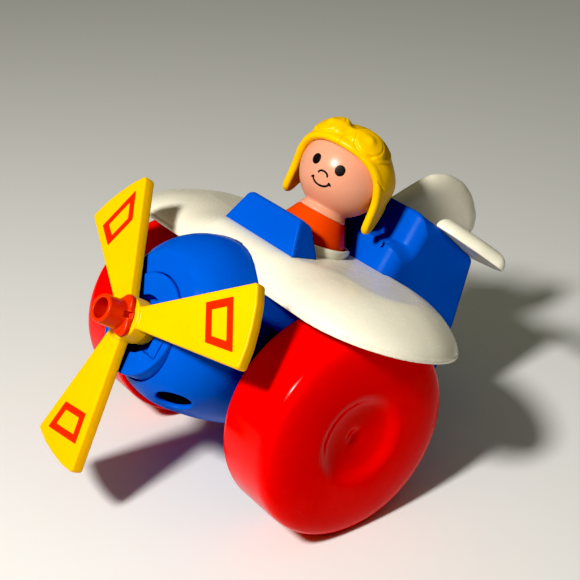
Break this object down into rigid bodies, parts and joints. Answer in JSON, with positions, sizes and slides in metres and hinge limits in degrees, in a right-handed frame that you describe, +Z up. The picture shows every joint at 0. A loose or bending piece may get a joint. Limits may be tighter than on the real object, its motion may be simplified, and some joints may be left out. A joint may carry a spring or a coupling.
{
  "type": "toy airplane",
  "caption": "Chunky pull-along toy airplane resting nose-up on big wheels and tail, with a geared propeller and a turning pilot.",
  "frame": {"origin": "middle of the tail skid's flat sole, on the ground the toy rests on", "axes": "+Z up from the ground, +X forward over the ground, +Y to the plane's left along the wheel axle; the propeller shaft points 36.1 degrees up from +X"},
  "size_m": [0.2132, 0.1766, 0.1442],
  "materials": {
    "wing_white": "glossy cream moulded plastic",
    "body_blue": "glossy royal blue moulded plastic",
    "wheel_red": "very glossy red blow-moulded plastic",
    "bearing_nylon": "natural nylon",
    "steel": "drawn bright steel",
    "gear_natural": "natural acetal",
    "blade_yellow": "satin yellow moulded plastic",
    "hub_orange": "glossy orange plastic",
    "label_red": "printed red outline",
    "pilot_orange": "satin orange plastic",
    "pilot_skin": "glossy flesh-coloured plastic",
    "helmet_yellow": "satin warm yellow soft plastic"
  },
  "bodies": {
    "airframe": {"fuselage_shell": "body_blue", "belly_cover": "body_blue", "belly_screws": "steel", "tail_skid": "body_blue", "nose_plate": "body_blue", "shaft_bush_front": "bearing_nylon", "shaft_bracket": "bearing_nylon", "windshield": "body_blue", "cockpit_ring": "wing_white", "wing": "wing_white", "tail_fin": "wing_white", "tailplane": "wing_white", "axle_bush_left": "bearing_nylon", "axle_bush_right": "bearing_nylon"},
    "wheelset": {"axle": "steel", "wheel_left": "wheel_red", "wheel_right": "wheel_red", "wheel_cover_left": "wheel_red", "wheel_cover_right": "wheel_red", "hub_sleeve_left": "bearing_nylon", "hub_sleeve_right": "bearing_nylon", "crown_gear": "gear_natural"},
    "propeller_group": {"propeller": "blade_yellow", "hub_knob": "hub_orange", "blade_labels": "label_red", "prop_shaft": "steel", "prop_pinion": "gear_natural", "shaft_clip": "steel"},
    "pilot": {"pilot_body": "pilot_orange", "pilot_head": "pilot_skin", "helmet": "helmet_yellow", "pilot_spindle": "steel", "spindle_clip": "steel"}
  },
  "joints": [
    {"name": "wheelset_roll", "type": "hinge", "parent": "airframe", "child": "wheelset", "pos_m": [0.05379, 0, 0.04385], "axis": [0, 1, 0], "continuous": true},
    {"name": "propeller_spin", "type": "hinge", "parent": "airframe", "child": "propeller_group", "pos_m": [0.11455, 0, 0.08562], "axis": [0.808, 0, 0.5892], "continuous": true},
    {"name": "pilot_turn", "type": "hinge", "parent": "airframe", "child": "pilot", "pos_m": [0.02587, 0, 0.09521], "axis": [-0.5892, 0, 0.808], "range_deg": [-60, 15]}
  ],
  "couplings": [
    {"joint": "propeller_spin", "follows": "wheelset_roll", "ratio": -2.5}
  ]
}
